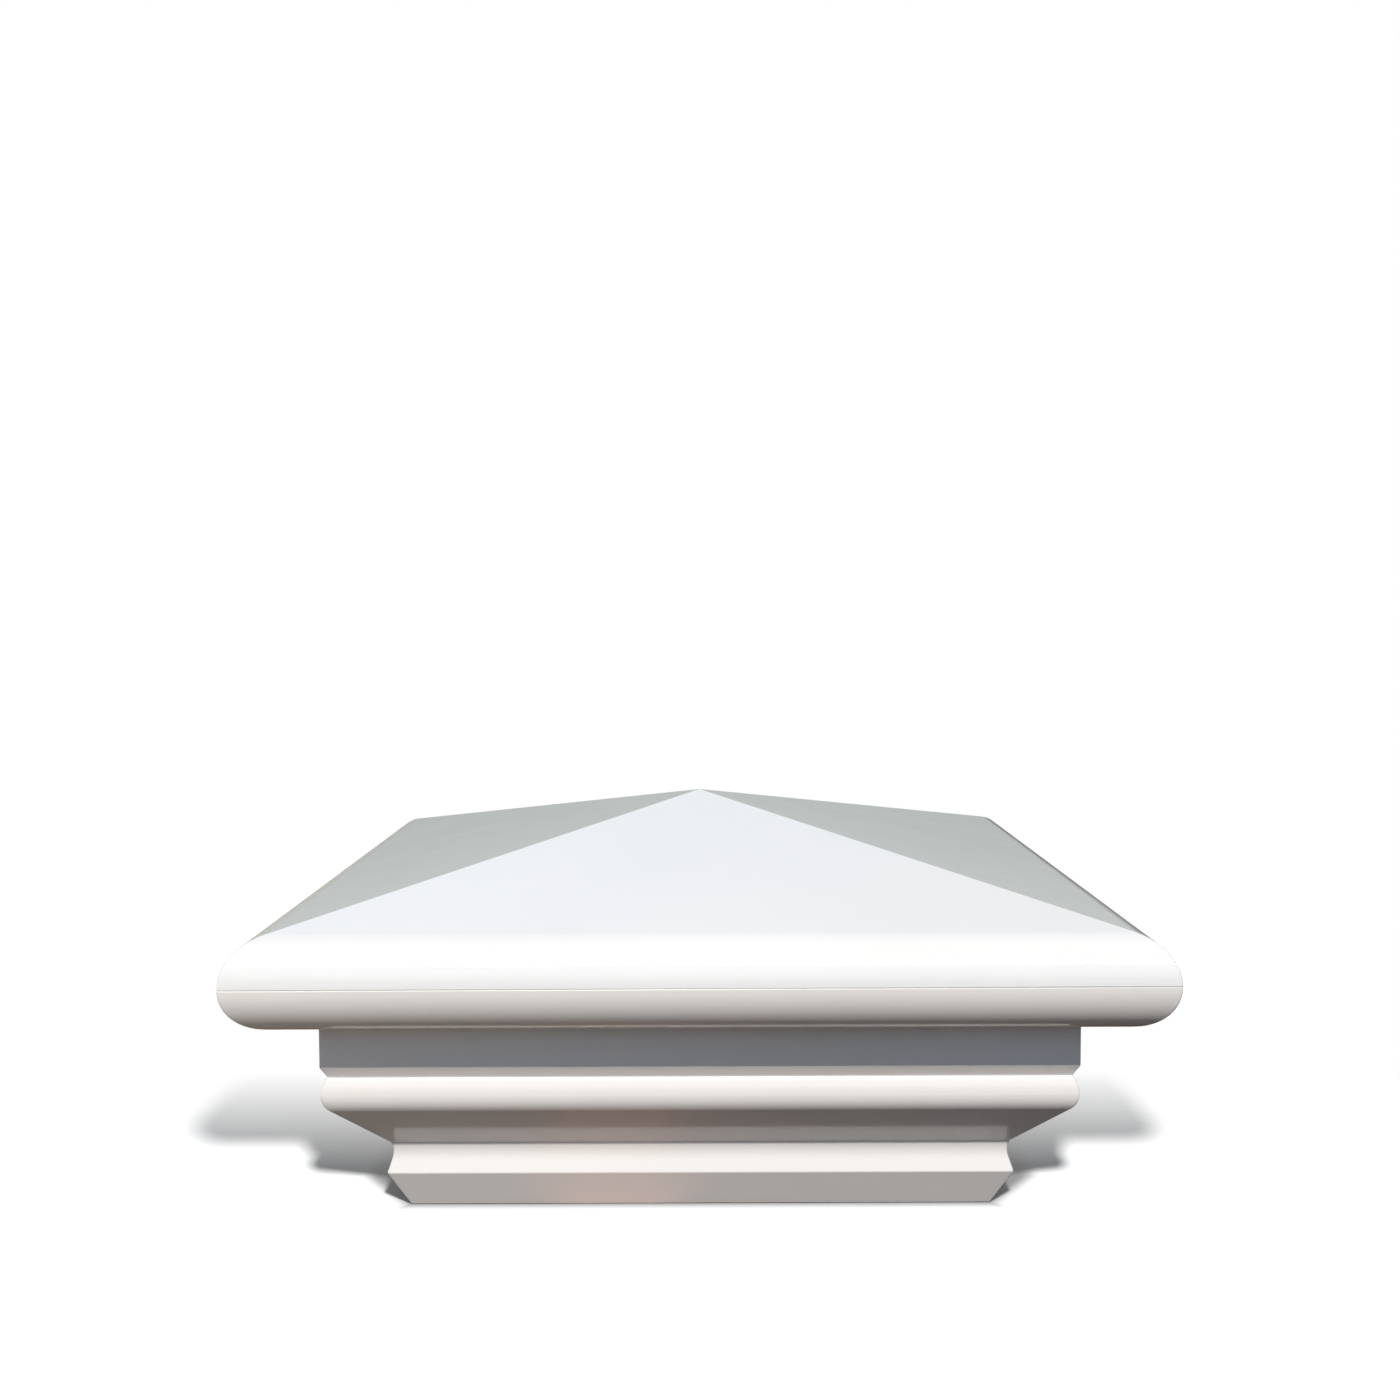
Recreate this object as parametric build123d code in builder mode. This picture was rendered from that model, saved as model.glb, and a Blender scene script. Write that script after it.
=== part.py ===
"""Square post cap: a low pyramid on a bullnose rim, over a moulded neck that slides on a 127 mm square post.

Two hollow mouldings are glued together at the widest line of the rim. Millimetres, +Z up, the origin at the centre of
the foot's opening, on the plane of the foot's lower lip.
"""
from build123d import *
from math import asin, atan2, cos, degrees, radians, sin, sqrt, tan
import os

# --- driving dimensions -------------------------------------------------------------------------------------------
# Half-widths are measured from the centre line to the outer face, heights from the foot.
POST = 127.0  # square post that the cap sits on
SOCKET = 128.5  # clear square at the foot's lip and between the ribs

RIM_HALF = 101.6  # widest line of the bullnose
SEAM_Z = 58.97  # height of that line, where the two mouldings meet
R_UPPER = 10.45  # upper quarter of the bullnose
R_LOWER = 10.8  # lower quarter of the bullnose
SLOPE = 12.27  # pyramid pitch, degrees
UNDER_CUT = 6.0  # the lower quarter stops this many degrees short of level, where the flat underside starts

FRIEZE_HALF = 84.38  # flat band under the rim
FRIEZE_Z = 37.32  # lower edge of the band
GROOVE_Z = 34.83  # bottom of the V-groove under the band
BEAD_HALF = 84.23  # widest line of the bead
BEAD_Z = 30.75
BEAD_R_UPPER = 7.0  # the bead is oval: flatter over its widest line than under it
BEAD_R_LOWER = 5.1
SOFFIT_FOOT_HALF = 71.41  # foot of the 45 degree soffit, which starts tangent to the bead
SOFFIT_FOOT_Z = 16.22
COVE_TURN = 25.0  # the cavetto starts this many degrees past upright under the soffit
COVE_SPLAY = 18.5  # and ends in a straight splay of this many degrees
SKIRT_TOP_HALF = 72.14  # arris between the cavetto and the splayed skirt
SKIRT_TOP_Z = 9.14
FOOT_HALF = 67.46  # outer edge of the foot

WALL = 2.8  # general wall of both mouldings
NECK_IN_HALF = 80.5  # inner face behind the band, groove and bead
COVE_IN_HALF = 67.9  # inner face behind the cavetto
LIP_H = 1.2  # upright land of the foot's lip
TONGUE_IN = 98.5  # lap joint at the seam: tongue of the lower moulding
TONGUE_OUT = 99.9
TONGUE_H = 3.0

RIB_T = 2.2  # ribs inside the neck, two to a side
RIB_OFF = 36.0  # their distance from the centre line
RIB_TOP = 49.5
STOP_HALF = 57.5  # how far in the stops reach over the post's end
STOP_Z = 43.0  # height of the post's end inside the cap
STOP_T = 3.0

MITRE_R = 0.45  # rounding of the mitred corners and the hips
ARRIS_R = 0.6  # rounding of the skirt's arris
BAND_R = 0.6  # rounding of the band's lower edge
INSIDE_R = 0.4  # fillets in the V-groove and at the foot of the soffit
TIP_FLAT = 0.5  # half-width of the blunted tip
EDGE_V = 0.19  # mean depth of the scraped edges at the seam
EDGE_TURN = 0.08  # their run-out, degrees: deep at one end of each side and nearly nothing at the other

slope = radians(SLOPE)
BIG = RIM_HALF + 5


def polar(cx, cz, radius, angle):
    """A point on a circle in the plane of the section."""
    return (cx + radius * cos(radians(angle)), cz + radius * sin(radians(angle)))


def near(shapes, *points):
    """The vertices of a section that lie at the given points, on either side of the centre line."""
    return [v for v in shapes if any(abs(abs(v.X) - x) < 0.02 and abs(v.Y - y) < 0.02 for x, y in points)]


def corner_edges(solid):
    """The edges along the four mitred corners of a square form."""
    return [e for e in solid.edges()
            if abs(abs((e @ 0.5).X) - abs((e @ 0.5).Y)) < 1e-3 and abs((e @ 0.0).Z - (e @ 1.0).Z) > 1e-3]


# === upper moulding ===============================================================================================
cu = RIM_HALF - R_UPPER  # centre of the upper quarter
top_arc_end = polar(cu, SEAM_Z, R_UPPER, 90 - SLOPE)
apex_z = top_arc_end[1] + top_arc_end[0] * tan(slope)
tip_z = apex_z - TIP_FLAT * tan(slope)

# Outer form: the section runs both ways and the two runs are mitred into a square.
with BuildPart() as top_form:
    for plane, how in ((Plane.XZ, Mode.ADD), (Plane.YZ, Mode.INTERSECT)):
        with BuildSketch(plane):
            with BuildLine():
                Line((0, SEAM_Z), (RIM_HALF, SEAM_Z))
                ThreePointArc((RIM_HALF, SEAM_Z), polar(cu, SEAM_Z, R_UPPER, (90 - SLOPE) / 2), top_arc_end)
                Line(top_arc_end, (TIP_FLAT, tip_z))
                Line((TIP_FLAT, tip_z), (0, tip_z))
                mirror(about=Plane.YZ)
            make_face()
        extrude(amount=BIG, both=True, mode=how)
    fillet(corner_edges(top_form), MITRE_R)

# Hollow inside it, open downwards, with the rebate that takes the lower moulding's tongue.
r_in = R_UPPER - WALL
step_angle = degrees(asin(TONGUE_H / r_in))
step_half = polar(cu, SEAM_Z, r_in, step_angle)[0]
in_arc_end = polar(cu, SEAM_Z, r_in, 90 - SLOPE)
in_apex_z = in_arc_end[1] + in_arc_end[0] * tan(slope)
with BuildPart() as top_hollow:
    for plane, how in ((Plane.XZ, Mode.ADD), (Plane.YZ, Mode.INTERSECT)):
        with BuildSketch(plane):
            with BuildLine():
                Polyline((0, SEAM_Z - 2), (TONGUE_OUT, SEAM_Z - 2), (TONGUE_OUT, SEAM_Z + TONGUE_H),
                         (step_half, SEAM_Z + TONGUE_H))
                ThreePointArc((step_half, SEAM_Z + TONGUE_H),
                              polar(cu, SEAM_Z, r_in, (step_angle + 90 - SLOPE) / 2), in_arc_end)
                Line(in_arc_end, (0, in_apex_z))
                mirror(about=Plane.YZ)
            make_face()
        extrude(amount=BIG, both=True, mode=how)

with BuildPart() as pyramid_top:
    add(top_form.part)
    # The lower outer edge is scraped at 45 degrees, deeper towards the right-hand end of each side.
    with BuildSketch(Plane.XY.offset(SEAM_Z)):
        Rectangle(2 * (RIM_HALF - EDGE_V), 2 * (RIM_HALF - EDGE_V), rotation=EDGE_TURN)
    with BuildSketch(Plane.XY.offset(SEAM_Z + 40)):
        Rectangle(2 * (RIM_HALF - EDGE_V + 40), 2 * (RIM_HALF - EDGE_V + 40), rotation=EDGE_TURN)
    loft(mode=Mode.INTERSECT)
    add(top_hollow.part, mode=Mode.SUBTRACT)

# === lower moulding ===============================================================================================
cl = RIM_HALF - R_LOWER  # centre of the lower quarter
under_end = polar(cl, SEAM_Z, R_LOWER, UNDER_CUT - 90)
under_z = under_end[1]
groove_turn = degrees(asin((GROOVE_Z - BEAD_Z) / BEAD_R_UPPER))
groove = polar(BEAD_HALF - BEAD_R_UPPER, BEAD_Z, BEAD_R_UPPER, groove_turn)
# The soffit leaves its foot tangent to the lower part of the bead.
bead_c = (BEAD_HALF - BEAD_R_LOWER, BEAD_Z)
dx, dz = bead_c[0] - SOFFIT_FOOT_HALF, bead_c[1] - SOFFIT_FOOT_Z
reach = sqrt(dx**2 + dz**2 - BEAD_R_LOWER**2)
soffit = atan2(dz, dx) - asin(BEAD_R_LOWER / sqrt(dx**2 + dz**2))
soffit_top = (SOFFIT_FOOT_HALF + reach * cos(soffit), SOFFIT_FOOT_Z + reach * sin(soffit))
# The cavetto is an arc from the soffit's foot, tangent to the straight splay that runs out to the skirt's arris.
turn, splay = radians(COVE_TURN), radians(COVE_SPLAY)
cove_r = ((SKIRT_TOP_HALF - SOFFIT_FOOT_HALF - (SOFFIT_FOOT_Z - SKIRT_TOP_Z) * tan(splay))
          / (cos(turn) - cos(splay) - (sin(turn) + sin(splay)) * tan(splay)))
cove_c = (SOFFIT_FOOT_HALF + cove_r * cos(turn), SOFFIT_FOOT_Z - cove_r * sin(turn))
cove_mid = polar(*cove_c, cove_r, 180 + (COVE_SPLAY - COVE_TURN) / 2)
cove_foot = polar(*cove_c, cove_r, 180 + COVE_SPLAY)

with BuildPart() as neck_form:
    for plane, how in ((Plane.XZ, Mode.ADD), (Plane.YZ, Mode.INTERSECT)):
        with BuildSketch(plane) as section:
            with BuildLine():
                Polyline((0, 0), (FOOT_HALF, 0), (SKIRT_TOP_HALF, SKIRT_TOP_Z), cove_foot)
                ThreePointArc(cove_foot, cove_mid, (SOFFIT_FOOT_HALF, SOFFIT_FOOT_Z))
                Line((SOFFIT_FOOT_HALF, SOFFIT_FOOT_Z), soffit_top)
                ThreePointArc(soffit_top, polar(*bead_c, BEAD_R_LOWER, -20), (BEAD_HALF, BEAD_Z))
                ThreePointArc((BEAD_HALF, BEAD_Z),
                              polar(BEAD_HALF - BEAD_R_UPPER, BEAD_Z, BEAD_R_UPPER, groove_turn / 2), groove)
                Polyline(groove, (FRIEZE_HALF, FRIEZE_Z), (FRIEZE_HALF, under_z), under_end)
                ThreePointArc(under_end, polar(cl, SEAM_Z, R_LOWER, -45), (RIM_HALF, SEAM_Z))
                Line((RIM_HALF, SEAM_Z), (0, SEAM_Z))
                mirror(about=Plane.YZ)
            make_face()
            fillet(near(section.vertices(), (SKIRT_TOP_HALF, SKIRT_TOP_Z)), ARRIS_R)
            fillet(near(section.vertices(), (FRIEZE_HALF, FRIEZE_Z)), BAND_R)
            fillet(near(section.vertices(), (SOFFIT_FOOT_HALF, SOFFIT_FOOT_Z), groove), INSIDE_R)
        extrude(amount=BIG, both=True, mode=how)
    fillet(corner_edges(neck_form), MITRE_R)
    foot_edges = [e for e in neck_form.edges() if abs((e @ 0.0).Z) < 1e-6 and abs((e @ 1.0).Z) < 1e-6]
    chamfer(foot_edges, 0.35)

# Hollow inside it, from the foot's mouth to the tray of the rim. The ribs and their stops are left standing.
n = (-sin(soffit) * WALL, cos(soffit) * WALL)  # from the soffit to its inner face
in_soffit_foot = (COVE_IN_HALF, SOFFIT_FOOT_Z + n[1] + (COVE_IN_HALF - SOFFIT_FOOT_HALF - n[0]) * tan(soffit))
in_soffit_top = (NECK_IN_HALF, SOFFIT_FOOT_Z + n[1] + (NECK_IN_HALF - SOFFIT_FOOT_HALF - n[0]) * tan(soffit))
r_tray = TONGUE_IN - cl
tray_end = polar(cl, SEAM_Z, r_tray, -90)
with BuildPart() as neck_hollow:
    for plane, how in ((Plane.XZ, Mode.ADD), (Plane.YZ, Mode.INTERSECT)):
        with BuildSketch(plane):
            with BuildLine():
                Polyline((0, -2), (SOCKET / 2, -2), (SOCKET / 2, LIP_H), (COVE_IN_HALF, 8.4), in_soffit_foot,
                         in_soffit_top, (NECK_IN_HALF, tray_end[1]), tray_end)
                ThreePointArc(tray_end, polar(cl, SEAM_Z, r_tray, -45), (TONGUE_IN, SEAM_Z))
                Polyline((TONGUE_IN, SEAM_Z), (TONGUE_IN, SEAM_Z + 10), (0, SEAM_Z + 10))
                mirror(about=Plane.YZ)
            make_face()
        extrude(amount=BIG, both=True, mode=how)
    for plane in (Plane.XZ, Plane.YZ):
        for side in (-1, 1):
            for off in (-RIB_OFF, RIB_OFF):
                with BuildSketch(plane.offset(off)):
                    with BuildLine():
                        Polyline((side * 90, 2.2), (side * 66.2, 2.2), (side * SOCKET / 2, 6.5),
                                 (side * SOCKET / 2, STOP_Z), (side * STOP_HALF, STOP_Z),
                                 (side * STOP_HALF, STOP_Z + STOP_T), (side * (SOCKET / 2 + 1), RIB_TOP),
                                 (side * 90, RIB_TOP), close=True)
                    make_face()
                extrude(amount=RIB_T / 2, both=True, mode=Mode.SUBTRACT)

with BuildPart() as moulded_neck:
    add(neck_form.part)
    # The upper outer edge is scraped too, deeper towards the left-hand end of each side.
    with BuildSketch(Plane.XY.offset(SEAM_Z)):
        Rectangle(2 * (RIM_HALF - EDGE_V), 2 * (RIM_HALF - EDGE_V), rotation=-EDGE_TURN)
    with BuildSketch(Plane.XY.offset(SEAM_Z - 60)):
        Rectangle(2 * (RIM_HALF - EDGE_V + 60), 2 * (RIM_HALF - EDGE_V + 60), rotation=-EDGE_TURN)
    loft(mode=Mode.INTERSECT)
    # Tongue that stands up inside the upper moulding.
    with BuildSketch(Plane.XY.offset(SEAM_Z)):
        Rectangle(2 * TONGUE_OUT, 2 * TONGUE_OUT)
    extrude(amount=TONGUE_H)
    add(neck_hollow.part, mode=Mode.SUBTRACT)

# --- hand-over ----------------------------------------------------------------------------------------------------
os.makedirs("parts", exist_ok=True)
pyramid_top.part.label = "pyramid_top"
moulded_neck.part.label = "moulded_neck"
for piece in (pyramid_top, moulded_neck):
    print(piece.part.label, "solids", len(piece.part.solids()), "volume", round(piece.part.volume),
          "valid", piece.part.is_valid, "box", piece.part.bounding_box())
print("apex", round(apex_z, 3), "tip", round(tip_z, 3), "soffit", round(degrees(soffit), 2), "soffit top", soffit_top,
      "groove", groove, "cove", cove_r, cove_foot, "deepest", cove_c[0] - cove_r, "underside", round(under_z, 3))
export_step(pyramid_top.part, "parts/pyramid_top.step")
export_step(moulded_neck.part, "parts/moulded_neck.step")
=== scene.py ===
"""Looks for the square post cap: camera, finish of the two mouldings, daylight and a white floor. Metres, frame of the CAD."""
import bpy
from math import cos, radians, sin
from mathutils import Matrix, Vector

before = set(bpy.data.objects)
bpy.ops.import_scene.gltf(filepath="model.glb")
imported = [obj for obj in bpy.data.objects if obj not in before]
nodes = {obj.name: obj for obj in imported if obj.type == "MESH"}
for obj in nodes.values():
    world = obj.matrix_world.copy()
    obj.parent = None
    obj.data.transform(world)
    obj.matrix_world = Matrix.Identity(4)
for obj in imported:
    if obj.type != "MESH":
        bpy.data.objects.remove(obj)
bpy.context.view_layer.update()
scene = bpy.context.scene
rig = bpy.data.collections.new("rig")
scene.collection.children.link(rig)


# --- camera -------------------------------------------------------------------------------------------------------
# Stands in front of the -Y side, a little above the tip, looking slightly down.
CAM_DISTANCE, CAM_SIDE, CAM_HEIGHT = 0.43281, 0.0002215, 0.13958
PITCH, ROLL, YAW = radians(3.417), radians(0.215), radians(0.071)
FOCAL_PX = 1597.95  # in a frame of 1400 x 1400

right = Vector((1, 0, 0))
ahead = Vector((0, cos(PITCH), -sin(PITCH)))
up = Vector((0, sin(PITCH), cos(PITCH)))
cam_x = right * cos(ROLL) - up * sin(ROLL)
cam_y = right * sin(ROLL) + up * cos(ROLL)
turn = Matrix.Rotation(YAW, 3, "Z")
cam_x, cam_y, back = turn @ cam_x, turn @ cam_y, turn @ -ahead
place = turn @ Vector((CAM_SIDE, -CAM_DISTANCE, CAM_HEIGHT))

cam_data = bpy.data.cameras.new("camera")
cam_data.sensor_fit = "HORIZONTAL"
cam_data.sensor_width = 36.0
cam_data.lens = FOCAL_PX / 1400 * 36.0
cam_data.clip_start = 0.01
cam_data.clip_end = 50.0
cam_data.dof.use_dof = False
camera = bpy.data.objects.new("camera", cam_data)
rig.objects.link(camera)
camera.matrix_world = Matrix((
    (cam_x.x, cam_y.x, back.x, place.x),
    (cam_x.y, cam_y.y, back.y, place.y),
    (cam_x.z, cam_y.z, back.z, place.z),
    (0, 0, 0, 1)))
scene.camera = camera


# --- node helpers -------------------------------------------------------------------------------------------------
def fresh(material):
    material.use_nodes = True
    material.node_tree.nodes.clear()
    return material.node_tree


def add(tree, kind, **settings):
    node = tree.nodes.new(kind)
    for key, value in settings.items():
        if key == "inputs":
            for name, v in value.items():
                node.inputs[name].default_value = v
        else:
            setattr(node, key, value)
    return node


def link(tree, a, b):
    tree.links.new(a, b)


def ramp(tree, stops, interpolation="LINEAR"):
    node = tree.nodes.new("ShaderNodeValToRGB")
    node.color_ramp.interpolation = interpolation
    band = node.color_ramp
    while len(band.elements) < len(stops):
        band.elements.new(0.5)
    for element, (pos, colour) in zip(band.elements, stops):
        element.position = pos
        element.color = (*colour, 1) if len(colour) == 3 else colour
    return node


# --- finish of the mouldings --------------------------------------------------------------------------------------
def vinyl(name, tint, shade, seed):
    """Glossy white vinyl: nearly even colour with a faint cloudiness, soft flow ripples, fine orange peel."""
    mat = bpy.data.materials.new(name)
    t = fresh(mat)
    out = add(t, "ShaderNodeOutputMaterial", location=(900, 0))
    bsdf = add(t, "ShaderNodeBsdfPrincipled", location=(600, 0))
    bsdf.inputs["IOR"].default_value = 1.5
    link(t, bsdf.outputs["BSDF"], out.inputs["Surface"])
    where = add(t, "ShaderNodeTexCoord", location=(-1200, 0))
    shift = add(t, "ShaderNodeMapping", location=(-1000, 0))
    shift.inputs["Location"].default_value = seed
    link(t, where.outputs["Object"], shift.inputs["Vector"])

    # colour: broad, very faint clouds between two whites, and finer pigment mottling
    clouds = add(t, "ShaderNodeTexNoise", location=(-760, 300), inputs={"Scale": 22.0, "Detail": 3.0, "Roughness": 0.55})
    link(t, shift.outputs["Vector"], clouds.inputs["Vector"])
    cloud_ramp = ramp(t, ((0.30, shade), (0.70, tint)))
    link(t, clouds.outputs["Fac"], cloud_ramp.inputs["Fac"])
    link(t, cloud_ramp.outputs["Color"], bsdf.inputs["Base Color"])

    # gloss: slightly duller patches
    haze = add(t, "ShaderNodeTexNoise", location=(-760, 0), inputs={"Scale": 60.0, "Detail": 4.0, "Roughness": 0.6})
    link(t, shift.outputs["Vector"], haze.inputs["Vector"])
    rough = add(t, "ShaderNodeMapRange", location=(-460, 0),
                inputs={"From Min": 0.3, "From Max": 0.7, "To Min": 0.07, "To Max": 0.13})
    link(t, haze.outputs["Fac"], rough.inputs["Value"])
    link(t, rough.outputs["Result"], bsdf.inputs["Roughness"])

    # relief: slow ripples from cooling, and fine orange peel
    slow = add(t, "ShaderNodeTexNoise", location=(-760, -300), inputs={"Scale": 45.0, "Detail": 1.0})
    link(t, shift.outputs["Vector"], slow.inputs["Vector"])
    peel = add(t, "ShaderNodeTexNoise", location=(-760, -560), inputs={"Scale": 900.0, "Detail": 2.0})
    link(t, shift.outputs["Vector"], peel.inputs["Vector"])
    bump_slow = add(t, "ShaderNodeBump", location=(-100, -300), inputs={"Strength": 1.0, "Distance": 0.00006})
    link(t, slow.outputs["Fac"], bump_slow.inputs["Height"])
    bump_peel = add(t, "ShaderNodeBump", location=(150, -400), inputs={"Strength": 1.0, "Distance": 0.000002})
    link(t, peel.outputs["Fac"], bump_peel.inputs["Height"])
    link(t, bump_slow.outputs["Normal"], bump_peel.inputs["Normal"])
    link(t, bump_peel.outputs["Normal"], bsdf.inputs["Normal"])
    return mat


upper = vinyl("vinyl_upper", (0.865, 0.868, 0.862), (0.845, 0.850, 0.845), (0.31, 0.17, 0.05))
lower = vinyl("vinyl_lower", (0.872, 0.851, 0.818), (0.852, 0.831, 0.798), (0.73, 0.41, 0.22))
nodes["pyramid_top"].material_slots[0].material = upper
nodes["moulded_neck"].material_slots[0].material = lower


# --- floor --------------------------------------------------------------------------------------------------------
def plane(name, size, z, hole=None):
    def square(s):
        return [(-s, -s, z), (s, -s, z), (s, s, z), (-s, s, z)]

    mesh = bpy.data.meshes.new(name)
    if hole:
        mesh.from_pydata(square(size) + square(hole), [], [(0, 1, 5, 4), (1, 2, 6, 5), (2, 3, 7, 6), (3, 0, 4, 7)])
    else:
        mesh.from_pydata(square(size), [], [(0, 1, 2, 3)])
    obj = bpy.data.objects.new(name, mesh)
    rig.objects.link(obj)
    return obj


# White floor that the camera sees. Its shadow fades out behind the object.
LAMP = (0.026, -0.436, 0.282)  # draws the shadow on the white floor
SHADOW = ((-0.160, 1.0), (-0.110, 0.08), (-0.070, 0.08), (-0.042, 0.17), (0.038, 1.0))  # its fading along Y
FOOT = 0.0675  # half-width of the foot, round which a contact shadow is painted on the floor
floor = plane("floor", 20.0, 0.0)
floor.visible_diffuse = floor.visible_glossy = floor.visible_transmission = floor.visible_shadow = False
mat = bpy.data.materials.new("white_floor")
t = fresh(mat)
where = add(t, "ShaderNodeTexCoord")
axes = add(t, "ShaderNodeSeparateXYZ")
link(t, where.outputs["Object"], axes.inputs["Vector"])
near, far = SHADOW[0][0], SHADOW[-1][0]
along = add(t, "ShaderNodeMapRange", inputs={"From Min": near, "From Max": far})
link(t, axes.outputs["Y"], along.inputs["Value"])
fade = ramp(t, [((y - near) / (far - near), (f, f, f)) for y, f in SHADOW])
link(t, along.outputs["Result"], fade.inputs["Fac"])
side_x, side_y = add(t, "ShaderNodeMath", operation="ABSOLUTE"), add(t, "ShaderNodeMath", operation="ABSOLUTE")
link(t, axes.outputs["X"], side_x.inputs[0])
link(t, axes.outputs["Y"], side_y.inputs[0])
beside = add(t, "ShaderNodeMapRange", inputs={"From Min": 0.18, "From Max": 0.22})
link(t, side_x.outputs["Value"], beside.inputs["Value"])
faded = add(t, "ShaderNodeMath", operation="MAXIMUM")
link(t, fade.outputs["Color"], faded.inputs[0])
link(t, beside.outputs["Result"], faded.inputs[1])
# Evens out the lamp's fall-off, so that the open floor is just white and the shadow keeps its soft edge.
reach = add(t, "ShaderNodeVectorMath", operation="DISTANCE")
reach.inputs[1].default_value = LAMP
link(t, where.outputs["Object"], reach.inputs[0])
cubed = add(t, "ShaderNodeMath", operation="POWER")
cubed.inputs[1].default_value = 3.0
link(t, reach.outputs["Value"], cubed.inputs[0])
even = add(t, "ShaderNodeMath", operation="MULTIPLY", use_clamp=True)
even.inputs[1].default_value = 2.43
link(t, cubed.outputs["Value"], even.inputs[0])
# Contact shadow, by the distance from the foot's square outline.
square = add(t, "ShaderNodeMath", operation="MAXIMUM")
# It reaches further out at the sides, and narrows towards the front corners.
flare = add(t, "ShaderNodeMapRange", inputs={"From Min": -FOOT, "From Max": -0.050, "To Min": 0.0, "To Max": 0.0120})
link(t, axes.outputs["Y"], flare.inputs["Value"])
wider = add(t, "ShaderNodeMath", operation="SUBTRACT")
link(t, flare.outputs["Result"], wider.inputs[1])
link(t, side_x.outputs["Value"], wider.inputs[0])
link(t, wider.outputs["Value"], square.inputs[0])
link(t, side_y.outputs["Value"], square.inputs[1])
contact = add(t, "ShaderNodeMapRange", interpolation_type="SMOOTHERSTEP",
              inputs={"From Min": FOOT - 0.0025, "From Max": FOOT + 0.0050, "To Min": 0.20, "To Max": 1.0})
link(t, square.outputs["Value"], contact.inputs["Value"])
shade = add(t, "ShaderNodeMath", operation="MULTIPLY")
link(t, even.outputs["Value"], shade.inputs[0])
link(t, contact.outputs["Result"], shade.inputs[1])
grey = add(t, "ShaderNodeCombineColor")
for channel in ("Red", "Green", "Blue"):
    link(t, shade.outputs["Value"], grey.inputs[channel])
white = add(t, "ShaderNodeEmission", inputs={"Color": (1, 1, 1, 1), "Strength": 1.0})
lit = add(t, "ShaderNodeBsdfDiffuse")
link(t, grey.outputs["Color"], lit.inputs["Color"])
mix = add(t, "ShaderNodeMixShader")
link(t, faded.outputs["Value"], mix.inputs["Fac"])
link(t, lit.outputs["BSDF"], mix.inputs[1])
link(t, white.outputs["Emission"], mix.inputs[2])
# It can be seen through from below, where the foot's mouth is.
side = add(t, "ShaderNodeNewGeometry")
clear = add(t, "ShaderNodeBsdfTransparent")
open_below = add(t, "ShaderNodeMixShader")
link(t, side.outputs["Backfacing"], open_below.inputs["Fac"])
link(t, mix.outputs["Shader"], open_below.inputs[1])
link(t, clear.outputs["BSDF"], open_below.inputs[2])
out = add(t, "ShaderNodeOutputMaterial")
link(t, open_below.outputs["Shader"], out.inputs["Surface"])
floor.data.materials.append(mat)

# Duller ground that only the object sees, in its reflections and as bounce light: pale on the left, darker on the right.
# Its hole lets light into the foot's mouth from below.
ground = plane("ground", 20.0, -0.0004, hole=0.062)
ground.visible_camera = False
mat = bpy.data.materials.new("dull_ground")
t = fresh(mat)
where = add(t, "ShaderNodeTexCoord")
axes = add(t, "ShaderNodeSeparateXYZ")
link(t, where.outputs["Object"], axes.inputs["Vector"])
across = add(t, "ShaderNodeMapRange", inputs={"From Min": -0.50, "From Max": 0.50})
link(t, axes.outputs["X"], across.inputs["Value"])
tone = ramp(t, ((0.0, (0.90, 0.77, 0.62)), (0.30, (0.30, 0.245, 0.190)), (0.40, (0.165, 0.130, 0.100)),
                (0.50, (0.105, 0.077, 0.058)), (0.75, (0.062, 0.049, 0.039)), (1.0, (0.046, 0.037, 0.030))))
link(t, across.outputs["Result"], tone.inputs["Fac"])
# A reddish patch of it lies close in front of the foot, left of the middle: the soffit mirrors it.
spread = add(t, "ShaderNodeMapping", vector_type="POINT")
spread.inputs["Location"].default_value = (0.020 * 0.45, 0.078 * 0.6, 0.0)
spread.inputs["Scale"].default_value = (0.45, 0.6, 1.0)
link(t, where.outputs["Object"], spread.inputs["Vector"])
away = add(t, "ShaderNodeVectorMath", operation="LENGTH")
link(t, spread.outputs["Vector"], away.inputs[0])
spot = add(t, "ShaderNodeMapRange", interpolation_type="SMOOTHSTEP",
           inputs={"From Min": 0.006, "From Max": 0.0105, "To Min": 1.0, "To Max": 0.0})
link(t, away.outputs["Value"], spot.inputs["Value"])
tinged = add(t, "ShaderNodeMixRGB")
tinged.inputs[2].default_value = (0.30, 0.165, 0.12, 1)
link(t, spot.outputs["Result"], tinged.inputs["Fac"])
link(t, tone.outputs["Color"], tinged.inputs[1])
lit = add(t, "ShaderNodeBsdfDiffuse")
link(t, tinged.outputs["Color"], lit.inputs["Color"])
out = add(t, "ShaderNodeOutputMaterial")
link(t, lit.outputs["BSDF"], out.inputs["Surface"])
ground.data.materials.append(mat)


# --- light --------------------------------------------------------------------------------------------------------
def aimed(location, target):
    return (Vector(target) - Vector(location)).to_track_quat("-Z", "Y")


def receivers(name, *objects):
    group = bpy.data.collections.new(name)
    for o in objects:
        group.objects.link(o)
    return group


on_object = receivers("lit_object", ground, *nodes.values())
on_floor = receivers("lit_floor", floor)

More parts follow.
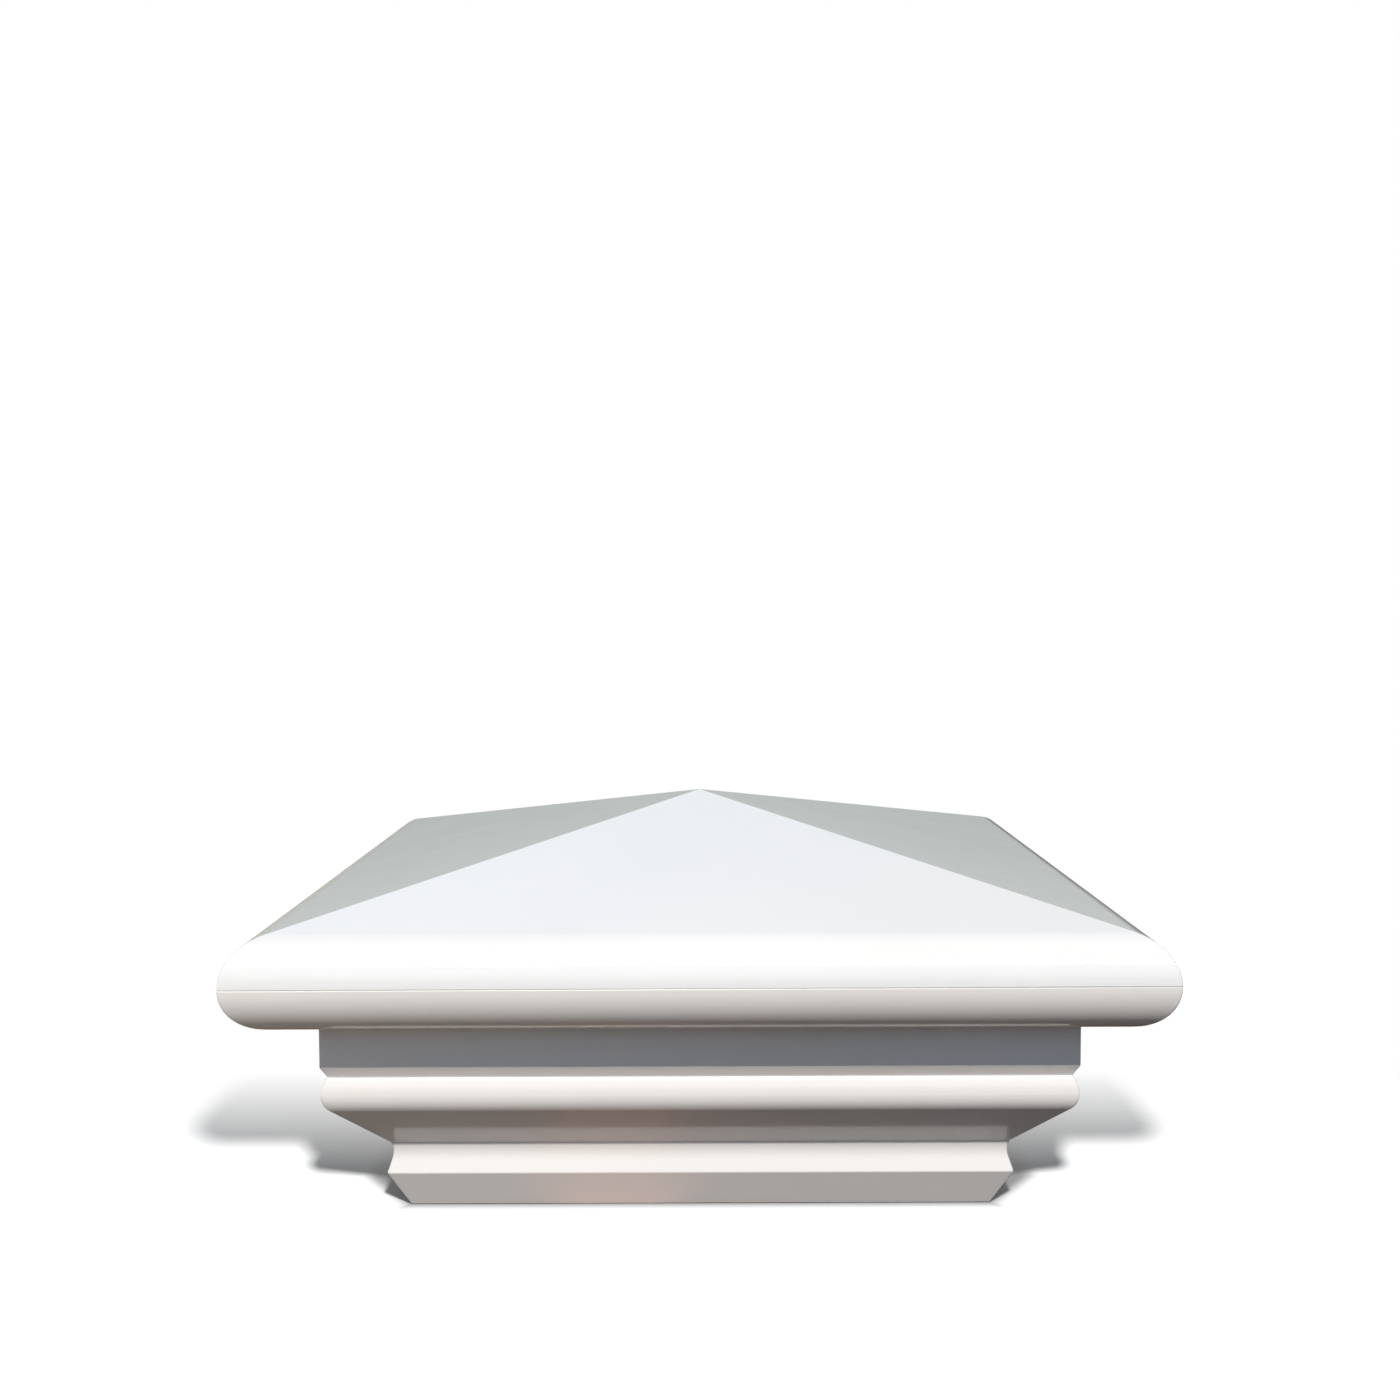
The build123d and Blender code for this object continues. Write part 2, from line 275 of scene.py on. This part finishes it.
# Key: a long level strip in front, 44.5 degrees up. It lights the object and not the white floor.
KEY_EL, KEY_DISTANCE, KEY_LONG, KEY_WIDE = radians(44.5), 5.0, 6.0, 0.08
key_data = bpy.data.lights.new("key", "AREA")
key_data.shape = "RECTANGLE"
key_data.size = KEY_LONG
key_data.size_y = KEY_WIDE
key_data.energy = 298.0
key_data.color = (1.0, 0.948, 0.895)
key = bpy.data.objects.new("key", key_data)
key.location = (0.0, -KEY_DISTANCE * cos(KEY_EL), KEY_DISTANCE * sin(KEY_EL))
key.rotation_mode = "QUATERNION"
key.rotation_quaternion = aimed(key.location, (0, 0, 0))
rig.objects.link(key)
key.light_linking.receiver_collection = on_object

# Level fill for the object's back, which the key doesn't reach.
fill_data = bpy.data.lights.new("back_fill", "SUN")
fill_data.energy = 1.5
fill_data.angle = radians(1.0)
fill = bpy.data.objects.new("back_fill", fill_data)
fill.rotation_mode = "QUATERNION"
fill.rotation_quaternion = aimed((0, 1, 0), (0, 0, 0))
fill.visible_glossy = False
rig.objects.link(fill)
fill.light_linking.receiver_collection = receivers("lit_back", *nodes.values())

# Lamp that only draws the object's soft shadow on the white floor.
lamp_data = bpy.data.lights.new("floor_lamp", "POINT")
lamp_data.energy = 60.0
lamp_data.shadow_soft_size = 0.017
lamp = bpy.data.objects.new("floor_lamp", lamp_data)
lamp.location = LAMP
rig.objects.link(lamp)
lamp.light_linking.receiver_collection = on_floor

# World: white to the camera. Round the object: a dim greenish band, a pale bluish sky over it at the back, a duller
# one at the sides, and a bright low sky in front.
world = bpy.data.worlds.new("daylight")
scene.world = world
world.use_nodes = True
t = world.node_tree
t.nodes.clear()
where = add(t, "ShaderNodeTexCoord")
axes = add(t, "ShaderNodeSeparateXYZ")
link(t, where.outputs["Generated"], axes.inputs["Vector"])
height = add(t, "ShaderNodeMapRange", inputs={"From Min": -1.0, "From Max": 1.0})
link(t, axes.outputs["Z"], height.inputs["Value"])


def level(degrees_up):
    return (sin(radians(degrees_up)) + 1) / 2


GROUND_LOW = (0.60, 0.59, 0.57)
skies = {
    "back_left": ((0.0, GROUND_LOW), (level(0), (0.26, 0.31, 0.29)), (level(7), (0.26, 0.31, 0.29)),
                  (level(12), (0.08, 0.09, 0.085)), (level(24), (0.40, 0.46, 0.52)), (level(32), (0.68, 0.83, 1.00)),
                  (level(50), (0.56, 0.68, 0.83)), (level(65), (0.18, 0.20, 0.23)), (1.0, (0.10, 0.11, 0.12))),
    "back_right": ((0.0, GROUND_LOW), (level(0), (0.27, 0.32, 0.30)), (level(7), (0.27, 0.32, 0.30)),
                   (level(12), (0.08, 0.09, 0.085)), (level(24), (0.28, 0.32, 0.36)), (level(32), (0.44, 0.54, 0.66)),
                   (level(50), (0.38, 0.46, 0.57)), (level(65), (0.18, 0.20, 0.23)), (1.0, (0.10, 0.11, 0.12))),
    "side": ((0.0, GROUND_LOW), (level(0), (0.07, 0.08, 0.075)), (level(14), (0.07, 0.08, 0.075)),
             (level(24), (0.18, 0.20, 0.22)), (level(50), (0.18, 0.20, 0.22)), (1.0, (0.10, 0.11, 0.12))),
    "front_left": ((0.0, GROUND_LOW), (level(0), (0.06, 0.10, 0.14)), (level(8), (0.13, 0.19, 0.27)),
                   (level(15), (0.56, 0.73, 0.98)), (level(24), (0.56, 0.73, 0.98)), (level(32), (0.25, 0.30, 0.34)),
                   (level(50), (0.10, 0.12, 0.14)), (1.0, (0.10, 0.11, 0.12))),
    "front_right": ((0.0, GROUND_LOW), (level(0), (0.05, 0.09, 0.13)), (level(8), (0.11, 0.17, 0.25)),
                    (level(15), (0.48, 0.65, 0.90)), (level(24), (0.48, 0.65, 0.90)), (level(32), (0.18, 0.22, 0.26)),
                    (level(50), (0.08, 0.10, 0.12)), (1.0, (0.10, 0.11, 0.12))),
}
tones = {}
for name, stops in skies.items():
    tones[name] = ramp(t, stops)
    link(t, height.outputs["Result"], tones[name].inputs["Fac"])


def blend(axis, start, end, first, second):
    """One tone turning smoothly into another between two values of a direction's X or Y."""
    share = add(t, "ShaderNodeMapRange", interpolation_type="SMOOTHSTEP", inputs={"From Min": start, "From Max": end})
    link(t, axes.outputs[axis], share.inputs["Value"])
    node = add(t, "ShaderNodeMixRGB")
    link(t, share.outputs["Result"], node.inputs["Fac"])
    link(t, first.outputs["Color"], node.inputs[1])
    link(t, second.outputs["Color"], node.inputs[2])
    return node


back = blend("X", -0.30, 0.30, tones["back_left"], tones["back_right"])
front = blend("X", -0.50, 0.50, tones["front_left"], tones["front_right"])
fronted = blend("Y", -0.10, -0.60, blend("Y", 0.25, 0.75, tones["side"], back), front)
seen = add(t, "ShaderNodeBackground", inputs={"Color": (1, 1, 1, 1), "Strength": 1.0})
around = add(t, "ShaderNodeBackground", inputs={"Strength": 1.0})
link(t, fronted.outputs["Color"], around.inputs["Color"])
path = add(t, "ShaderNodeLightPath")
mix = add(t, "ShaderNodeMixShader")
link(t, path.outputs["Is Camera Ray"], mix.inputs["Fac"])
link(t, around.outputs["Background"], mix.inputs[1])
link(t, seen.outputs["Background"], mix.inputs[2])
out = add(t, "ShaderNodeOutputWorld")
link(t, mix.outputs["Shader"], out.inputs["Surface"])

scene.view_settings.view_transform = "Standard"
scene.view_settings.look = "None"
scene.view_settings.exposure = 0.0
scene.view_settings.gamma = 1.0
